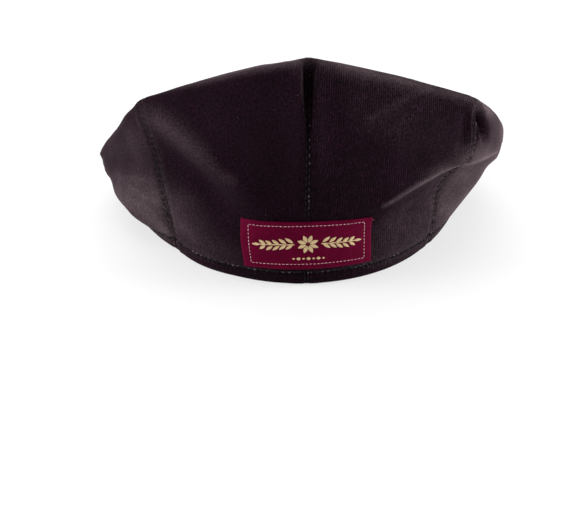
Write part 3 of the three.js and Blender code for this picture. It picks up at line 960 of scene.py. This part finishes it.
CORDUROY = corduroy()
REVERSE = cloth_reverse()
DARK_THREAD = thread("dark_thread", *NEAR_BLACK, 0.02)
# Near-black thread with painted glints on some stitches
GLINTING_THREAD = thread("glinting_thread", *NEAR_BLACK, 0.02, (0.085, 0.070, 0.078, 1))
MAROON_THREAD = thread("maroon_thread", (0.06, 0.003, 0.012, 1), (0.16, 0.012, 0.035, 1), 0.05)
PINK_THREAD = thread("pink_thread", (0.50, 0.26, 0.30, 1), (0.80, 0.54, 0.56, 1), 0.1)
LABEL_WEAVE = label_weave()
GOLD = gold_yarn()


# Crown panels


def wall_thickness(x, y, width):
    """Two layers where the hem is turned up, and where a seam's allowance lies inside."""
    hem = (HEM_WALL - WALL) * (1 - smoothstep(y, HEM_HEIGHT + 0.4, HEM_HEIGHT + 1.6))
    edge = width / 2 - np.abs(x)
    allowance = ALLOWANCE_WALL * (1 - smoothstep(edge, ALLOWANCE - 0.6, ALLOWANCE + 0.6))
    return WALL + np.maximum(hem, allowance * np.minimum(1, width / NARROW))


def make_panel(index, grid):
    points, x, y = grid["points"], grid["x"], grid["y"]
    normals = grid["normals"].copy()
    normals[:, 0, 2] = 0
    normals[:, 0] = unit(normals[:, 0])
    thickness = wall_thickness(x, y, 2 * np.abs(x[:1]) + 0 * x) - 2 * hem_tuck(y)
    inner = points - normals * np.maximum(thickness, LEAST_WALL)[..., None]
    name = PANELS[index].name
    obj, inner_count = closed_sheet(f"crown_{name}", points, inner, x, y)
    # The painted light and shade, the sewn strips and the ribs' faintness go to the corduroy as values at
    # the points
    for key in ("nap", "sewn", "faint"):
        values = obj.data.attributes.new(key, "FLOAT", "POINT")
        values.data.foreach_set("value", np.tile(grid[key].ravel(), 2).astype(np.float32))
    finish_piece(obj, [CORDUROY, REVERSE], "corduroy", f"panel_{name}")
    use_second_material(obj, slice(-inner_count, None))


# Stitches


def resample(points, normals, pitch):
    """Points and normals every pitch along a line of them."""
    steps = np.linalg.norm(np.diff(points, axis=0), axis=1)
    length = np.concatenate([[0], np.cumsum(steps)])
    stations = np.linspace(0, length[-1], max(int(length[-1] / pitch), 1) + 1)
    at, normal = (
        np.stack([np.interp(stations, length, values) for values in vectors.T], -1)
        for vectors in (points, normals)
    )
    return at, unit(normal)


# A stitch is a tube: each ring's share of its radius, and the rings' sides
STITCH_TAPER = np.array([0.45, 0.85, 1, 1, 0.85, 0.45])
STITCH_SIDES = 6


def tube_faces(first):
    last = first + (len(STITCH_TAPER) - 1) * STITCH_SIDES
    faces = []
    for low in range(first, last, STITCH_SIDES):
        for side in range(STITCH_SIDES):
            here, there = low + side, low + (side + 1) % STITCH_SIDES
            faces.append([here, there, there + STITCH_SIDES, here + STITCH_SIDES])
    return faces + [list(range(first, first + STITCH_SIDES))[::-1], list(range(last, last + STITCH_SIDES))]


def stitches(points, normals, stitch=SEAM_STITCH):
    """Vertices and faces of a row of short bowed threads along a line."""
    at, normal = resample(points, normals, stitch.pitch)
    step = np.diff(at, axis=0)[:, None, None]
    run = step * stitch.share
    up = normal[:-1, None, None]
    aside = np.cross(up, unit(run))
    t = np.linspace(0, 1, len(STITCH_TAPER))[:, None, None]
    angle = (np.arange(STITCH_SIDES) * 2 * np.pi / STITCH_SIDES)[:, None]
    centre = at[:-1, None, None] + step * (1 - stitch.share) / 2 + run * t
    centre = centre + up * (stitch.rise * np.sin(np.pi * t) - stitch.sink)
    fat = stitch.radius * STITCH_TAPER[:, None, None]
    vertices = (centre + fat * (np.cos(angle) * aside + np.sin(angle) * up)).reshape(-1, 3)
    starts = range(0, len(vertices), len(STITCH_TAPER) * STITCH_SIDES)
    return vertices, [face for start in starts for face in tube_faces(start)]


def joined(parts):
    faces, count = [], 0
    for points, some in parts:
        faces.extend([v + count for v in f] for f in some)
        count += len(points)
    return np.concatenate([points for points, _ in parts]), faces


def make_thread(name, rows, material, slot):
    """One piece of several rows of stitches."""
    finish_piece(make_mesh(name, *joined(rows)), [material], slot)


def surface_line(index, across, up):
    """Points and outward normals along a line on a panel."""
    step = 0.002
    points = crown(index, across, up)
    other = crown(index, np.clip(across + step, 0, 1), up) - crown(index, np.clip(across - step, 0, 1), up)
    rise = crown(index, across, np.clip(up + step, 0, 2)) - crown(index, across, np.clip(up - step, 0, 2))
    return points, unit(np.cross(other, rise))


STITCHED_FROM = 0.012
STITCHED_TO = 1.93
# Stitches with painted glints up to this place, by the seam's turn and its row: 0 after the seam, 1 before
# it
GLINTING_TO = {(0, 0): 0.80, (48, 0): 0.95, (48, 1): 0.95, (312, 0): 0.45, (312, 1): 0.45}


def seam_row(index, row, from_up, to_up):
    """A stretch of one of the two rows of topstitching beside a seam."""
    up = np.linspace(from_up, to_up, 420)
    panel = (index - row) % PANEL_COUNT
    width, _, _ = cloth_place(panel, np.full_like(up, row), up)
    inset = np.minimum(SEAMS[index].rows / width, 0.3)
    return stitches(*surface_line(panel, 1 - inset if row else inset, up))


def hem_row(index):
    across = np.linspace(0.012, 0.988, 90)
    side, _ = panel_lengths(index, across)
    return stitches(*surface_line(index, across, HEM_HEIGHT / side), HEM_STITCH)


def make_stitches():
    for index, seam in enumerate(SEAMS):
        # Rows with painted glints, and plain dark rows
        glinting, dark = [], []
        for row in (0, 1):
            glinting_to = GLINTING_TO.get((seam.turn, row), STITCHED_FROM)
            dark.append(seam_row(index, row, glinting_to, STITCHED_TO))
            if glinting_to > STITCHED_FROM:
                glinting.append(seam_row(index, row, STITCHED_FROM, glinting_to))
        obj = make_mesh(f"topstitch_seam_{seam.turn}", *joined(glinting + dark))
        finish_piece(obj, [DARK_THREAD, GLINTING_THREAD] if glinting else [DARK_THREAD], "thread")
        use_second_material(obj, slice(sum(len(faces) for _, faces in glinting)))
    # The hem's stitches all take the thread with painted glints
    make_thread("topstitch_hem", [hem_row(index) for index in range(PANEL_COUNT)], GLINTING_THREAD, "thread")


# Label


def label_point(x, height, stand_off):
    """A point over the back of the crown, x mm toward the wearer's right of the back seam."""
    share = (height - LABEL_UP) / LABEL_HEIGHT
    lean = math.tan(math.radians(LABEL_TILT)) - LABEL_TAPER * share
    arch = LABEL_ARCH_LOW + (LABEL_ARCH_HIGH - LABEL_ARCH_LOW) * share
    height = height + x * lean + arch * (1 - (2 * x / LABEL_WIDTH) ** 2)
    x = x + LABEL_SLANT * (1 - share)
    turn = np.degrees(x / RIM_HALF_LENGTH)
    result = np.zeros(x.shape + (3,))
    for index, here in ((0, turn >= 0), (7, turn < 0)):
        own, _, next_turn = panel_edges(index)
        across = ((turn[here] % 360) - own.row.turn) / (next_turn - own.row.turn)
        side, _ = panel_lengths(index, across)
        result[here] = crown(index, across, height[here] / side, sewn=False)
    return result + outward(turn) * np.asarray(stand_off)[..., None]


def label_sag(x, height):
    """The label lies on the raised seam in its middle and is drawn down by its border stitches."""
    side_inset = LABEL_SIDE - np.abs(x) - LABEL_BORDER_SIDE
    low_inset = height - LABEL_UP - LABEL_BORDER_LOW
    high_inset = LABEL_TOP - LABEL_BORDER_HIGH - height
    inset = np.minimum(np.minimum(low_inset, high_inset), side_inset)
    dent = 0.22 * bell(inset, 0.7)
    cushion = 0.25 * smoothstep(inset, 0, 5)
    over_seam = 0.45 * bell(x, 7.5)
    ripple = 0.12 * np.sin(x / 5.2 + 0.7) * smoothstep(inset, -2.5, 3.5)
    corner = 0.5 * smoothstep(np.hypot(LABEL_SIDE - x, LABEL_TOP - height), 9, 0)
    return 0.6 * (cushion + over_seam - dent + ripple + corner)


def make_label():
    x, height = np.meshgrid(
        np.linspace(-LABEL_SIDE, LABEL_SIDE, LABEL_COLUMNS),
        LABEL_UP + np.linspace(0, LABEL_HEIGHT, LABEL_ROWS),
        indexing="ij",
    )
    from_middle = height - LABEL_UP - LABEL_HEIGHT / 2
    inset = np.minimum(LABEL_SIDE - np.abs(x), LABEL_HEIGHT / 2 - np.abs(from_middle))
    edge = LABEL_EDGE * (1 - smoothstep(inset, 0, 0.9))
    low = LABEL_GAP + label_sag(x, height)
    outer = label_point(x, height, low + LABEL_WALL - edge)
    obj, _ = closed_sheet("woven_label", outer, label_point(x, height, low), x, height)
    finish_piece(obj, [LABEL_WEAVE], "label_weave", "back_label")


def label_top(x, height, stand_off):
    return label_point(x, height, LABEL_GAP + LABEL_WALL + label_sag(x, height) + stand_off)


def label_row(from_x, from_height, to_x, to_height):
    x = np.linspace(from_x, to_x, 60)
    points = label_top(x, np.linspace(from_height, to_height, 60), 0.0)
    return stitches(points, outward(np.degrees(x / RIM_HALF_LENGTH)), LABEL_STITCH)


def make_label_border():
    side = LABEL_SIDE - LABEL_BORDER_SIDE
    low, high = LABEL_UP + LABEL_BORDER_LOW, LABEL_TOP - LABEL_BORDER_HIGH
    corners = [(-side, low), (side, low), (side, high), (-side, high)]
    rows = [label_row(*here, *there) for here, there in zip(corners, corners[1:] + corners[:1])]
    make_thread("label_border_stitches", rows, PINK_THREAD, "label_thread")


def make_thread_tail():
    """A loose end of label thread at the label's upper right corner."""
    t = np.linspace(0, 1, 12)
    x = LABEL_SIDE - 1.0 + 1.9 * t
    height = LABEL_TOP - 0.7 - 1.2 * t**2
    points = label_top(x, height, 0.1 + 0.5 * np.sin(np.pi * t))
    row = stitches(points, outward(np.degrees(x / RIM_HALF_LENGTH)), THREAD_END)
    make_thread("label_thread_tail", [row], MAROON_THREAD, "label_thread")


FIGURE_HEIGHT = 14.6
LEAF_LEAN = math.radians(38)
LEAF_STATIONS = 9
# Across a leaf: the share of its half width, and the height in mm
LEAF_SECTION = [(-1, -0.12), (-0.9, 0.16), (-0.45, 0.26), (0, 0.3), (0.45, 0.26), (0.9, 0.16), (1, -0.12)]


def leaf(x, height, angle, length, width, blunt=1.0):
    """A raised almond of satin stitch on the label, from its root at (x, height)."""
    t = np.linspace(0, 1, LEAF_STATIONS)
    half = width / 2 * np.sin(np.pi * (0.04 + 0.92 * t)) ** blunt
    direction = np.array([math.cos(angle), math.sin(angle)])
    aside = np.array([-direction[1], direction[0]])
    middle = np.array([x, height]) + direction * (t * length)[:, None]
    rows = []
    for side, rise in LEAF_SECTION:
        flat = middle + aside * (half * side)[:, None]
        rows.append(label_top(flat[:, 0], flat[:, 1], rise))
    columns, count = len(rows), len(t)
    last = (columns - 1) * count
    faces = [list(f) for f in grid_faces(columns, count)]
    faces.append(list(range(last, -1, -count)))
    faces.append(list(range(count - 1, last + count, count)))
    faces.append([*range(count - 1, -1, -1), *range(last, last + count)])
    uv = np.stack([np.zeros(columns * count), np.tile(t * length, columns)], -1)
    return np.concatenate(rows), faces, uv


def label_figure():
    """A rosette between two leafy sprays, with a short row of beads under it."""
    middle = LABEL_UP + FIGURE_HEIGHT
    rows = []
    for k in range(8):
        angle = math.pi / 4 * k + math.pi / 8
        rows.append((math.cos(angle), middle + math.sin(angle), angle, 4.2, 2.1))
    for side, ahead in ((-1, math.pi), (1, 0)):
        for k in range(5):
            for way in (-1, 1):
                height = middle + 0.5 * math.cos(k * 1.1) + way * 0.35
                angle = ahead + side * way * LEAF_LEAN
                rows.append((side * (7.0 + 3.3 * k), height, angle, 4.6 - 0.25 * k, 1.7))
        rows.append((side * 22.6, middle, ahead, 4.0, 1.6))
        for k in range(4):
            rows.append((side * (6.3 + 4.2 * k), middle, ahead, 4.4, 0.7, 0.35))
    for k in range(-3, 4):
        size = 1.9 if k % 2 == 0 else 1.2
        rows.append((k * 2.4 - size / 2, middle - 8.2, 0.0, size, size * 0.9, 0.8))
    return [leaf(*row) for row in rows]


def make_label_figure():
    leaves = label_figure()
    points, faces = joined([(points, faces) for points, faces, _ in leaves])
    obj = make_mesh("label_figure", points, faces, np.concatenate([uv for _, _, uv in leaves]))
    finish_piece(obj, [GOLD], "label_thread")


# Peak


def peak_point(from_front, depth, thickness_share, over):
    root = rim_point(180 + from_front)
    radius = np.hypot(root[..., 0], root[..., 1])[..., None]
    root[..., :2] *= (radius - HEM_WALL) / radius
    root[..., 2] -= PEAK_DROP
    angle = np.radians(from_front * 90 / PEAK_TURN)
    edge = np.stack([
        PEAK_HALF_WIDTH * np.sin(angle),
        PEAK_CORNER_Y - PEAK_REACH * np.cos(angle),
        PEAK_THICKNESS + 0 * angle,
    ], -1)
    point = root + (edge - root) * depth[..., None]
    point[..., 2] += PEAK_ARCH * np.cos(angle) * np.sin(np.pi * depth)
    half = PEAK_THICKNESS / 2
    point[..., 2] += -half + over * half * thickness_share
    return point


def peak_depths(from_front):
    """The peak's depth there from root to edge, in mm."""
    ones = np.ones_like(from_front)
    run = peak_point(from_front, ones, ones, 0) - peak_point(from_front, 0 * ones, ones, 0)
    return np.linalg.norm(run, axis=-1)


def peak_surface(from_front, inset, over):
    """A point of the peak's upper (over 1) or lower (over -1) cloth, inset mm from its edge."""
    reach = peak_depths(from_front)
    depth = 1 - np.minimum(inset / reach, 1)
    near = np.minimum(inset, reach * (1 - depth))
    rounding = np.sqrt(np.clip(1 - np.clip(1 - near / PEAK_ROUND, 0, 1) ** 2, 0, 1))
    dents = sum(PEAK_DENT * bell(near - place, PEAK_DENT_WIDTH) for place in PEAK_STITCH_INSETS)
    return peak_point(from_front, depth, rounding * (1 - dents), over)


def make_peak():
    from_front = np.linspace(-PEAK_TURN, PEAK_TURN, PEAK_COLUMNS)[:, None] + np.zeros((1, PEAK_ROWS))
    reach = peak_depths(from_front)[:, :1]
    border = np.minimum(PEAK_INSETS, reach * PEAK_INSETS / PEAK_BORDER)
    share = np.linspace(0, 1, PEAK_ROWS - len(PEAK_INSETS) + 1)[1:]
    inset = np.concatenate([border, border[:, -1:] + (reach - border[:, -1:]) * share], 1)
    top = peak_surface(from_front, inset, 1)
    bottom = peak_surface(from_front, inset, -1)
    obj, _ = closed_sheet("peak_cloth", top, bottom, top[..., 0], top[..., 1])
    finish_piece(obj, [CORDUROY], "corduroy", "peak")


def peak_row(inset, over):
    from_front = np.linspace(-PEAK_TURN * 0.955, PEAK_TURN * 0.955, 400)
    room = np.minimum(inset, peak_depths(from_front) * inset / PEAK_BORDER)
    points = peak_surface(from_front, room, over)
    normals = np.zeros_like(points)
    normals[:, 2] = over
    return stitches(points, normals, HEM_STITCH)


def make_peak_stitches():
    rows = [peak_row(inset, over) for inset in PEAK_STITCH_INSETS for over in (1, -1)]
    make_thread("topstitch_peak", rows, DARK_THREAD, "thread")


# Button

BUTTON_SIDES = 112
BUTTON_RINGS = 30
BUTTON_HEIGHT = 3.5
BUTTON_LIFT = 0.9
BUTTON_PLEATS = 14
PLEAT_RADIUS = 6.8
PLEAT_SPREAD = 1.1
PLEAT_DEPTH = 0.16
# The outline's radius and height, from the middle of the top round to under the shank
BUTTON_OUTLINE = np.array([
    [0.02, BUTTON_HEIGHT],
    [2.6, BUTTON_HEIGHT * 0.96],
    [5.2, BUTTON_HEIGHT * 0.7],
    [6.8, BUTTON_HEIGHT * 0.34],
    [6.9, 0.55],
    [6.0, 0.05],
    [3.4, 0.0],
    [3.3, -1.9],
    [0.02, -1.9],
])


def make_button():
    """A cloth-covered dome, gathered into pleats where it turns under, on a short shank."""
    angle = np.linspace(0, 2 * np.pi, BUTTON_SIDES, endpoint=False)[:, None]
    outline, _ = smooth_curve(BUTTON_OUTLINE)
    radius, height = outline(np.linspace(0, 1, BUTTON_RINGS)).T
    gather = bell(radius - PLEAT_RADIUS, PLEAT_SPREAD) * (height > -0.5)
    radius = radius + PLEAT_DEPTH * gather * np.cos(BUTTON_PLEATS * angle)
    tilt = math.atan(CENTRE_SLOPE)
    x, y, z = radius * np.cos(angle), radius * np.sin(angle), height + BUTTON_LIFT
    back, up = y * math.cos(tilt) - z * math.sin(tilt), y * math.sin(tilt) + z * math.cos(tilt)
    points = np.stack([x, back, up + CENTRE_HEIGHT], -1).reshape(-1, 3)
    # The rings run outward and down, so each face takes its corners the other way round
    round_about = grid_faces(BUTTON_SIDES + 1, BUTTON_RINGS)[:, [0, 3, 2, 1]] % len(points)
    ends = np.arange(0, len(points), BUTTON_RINGS)
    faces = [*round_about, ends, ends[::-1] + BUTTON_RINGS - 1]
    obj = make_mesh("covered_button", points, faces, np.stack([x, y], -1).reshape(-1, 2))
    finish_piece(obj, [CORDUROY], "corduroy", "top_button")


# Stage, lights and camera, in metres

FLOOR_HALF = 6.0
FLOOR_GAP = 0.0002
LIGHT_TARGET = (0, 0.03, 0.05)


def make_floor():
    mesh = bpy.data.meshes.new("floor")
    corners = [(FLOOR_HALF * i, FLOOR_HALF * j, 0) for i, j in ((-1, -1), (1, -1), (1, 1), (-1, 1))]
    mesh.from_pydata(corners, [], [(0, 1, 2, 3)])
    floor = add_object("floor", mesh)
    floor.location.z = -FLOOR_GAP
    mesh.materials.append(pale_floor())


def add_light(kind, name, place, energy, spread):
    """A soft light: spread is a panel's width in metres or a sun's angle in degrees."""
    data = bpy.data.lights.new(name, kind)
    data.energy = energy
    if kind == "AREA":
        data.shape = "DISK"
        data.size = spread
    else:
        data.angle = math.radians(spread)
    light = add_object(name, data)
    light.visible_camera = False
    light.location = place
    light.rotation_mode = "QUATERNION"
    light.rotation_quaternion = (Vector(LIGHT_TARGET) - Vector(place)).to_track_quat("-Z", "Y")


def make_lights():
    world = bpy.data.worlds.new("studio")
    bpy.context.scene.world = world
    t = Tree(world)
    height = t.math("ABSOLUTE", t.part(t.place("Generated"), "Z"))
    strength = t.ramp(height, 0.12, 0.5, 1.0, 0.35)
    t.fill(t.tree.nodes["Background"], {"Color": (1.0, 1.0, 1.0, 1), "Strength": strength})
    add_light("SUN", "overhead", (0.1, -0.5, 1.4), 1.5, 60)
    add_light("AREA", "left_panel", (1.4, 0.1, 0.25), 32, 0.9)
    add_light("AREA", "right_panel", (-1.4, 0.1, 0.25), 32, 0.9)


def make_camera():
    data = bpy.data.cameras.new("camera")
    data.sensor_width = SENSOR
    data.lens = CAMERA_DISTANCE / MM_PER_PIXEL / PHOTO_WIDTH * SENSOR
    data.clip_start, data.clip_end = 0.02, 30
    camera = add_object("camera", data)
    elevation = math.radians(CAMERA_ELEVATION)
    back = Vector((0, math.cos(elevation), math.sin(elevation)))
    back.rotate(Quaternion((0, 0, 1), math.radians(CAMERA_AROUND)))
    camera.location = Vector(ORIGIN) + back * CAMERA_DISTANCE * MM
    aim = (-back).to_track_quat("-Z", "Y")
    aim = aim @ Quaternion((0, 1, 0), math.radians(CAMERA_TURN_LEFT))
    aim = aim @ Quaternion((1, 0, 0), -math.radians(CAMERA_TURN_DOWN))
    camera.rotation_mode = "QUATERNION"
    camera.rotation_quaternion = aim
    bpy.context.scene.camera = camera


make_camera()
for number, panel_grid in enumerate(crown_grids()):
    make_panel(number, panel_grid)
make_stitches()
make_label()
make_label_figure()
make_label_border()
make_thread_tail()
make_peak()
make_peak_stitches()
make_button()
make_floor()
make_lights()

bpy.context.scene.view_settings.view_transform = "Standard"
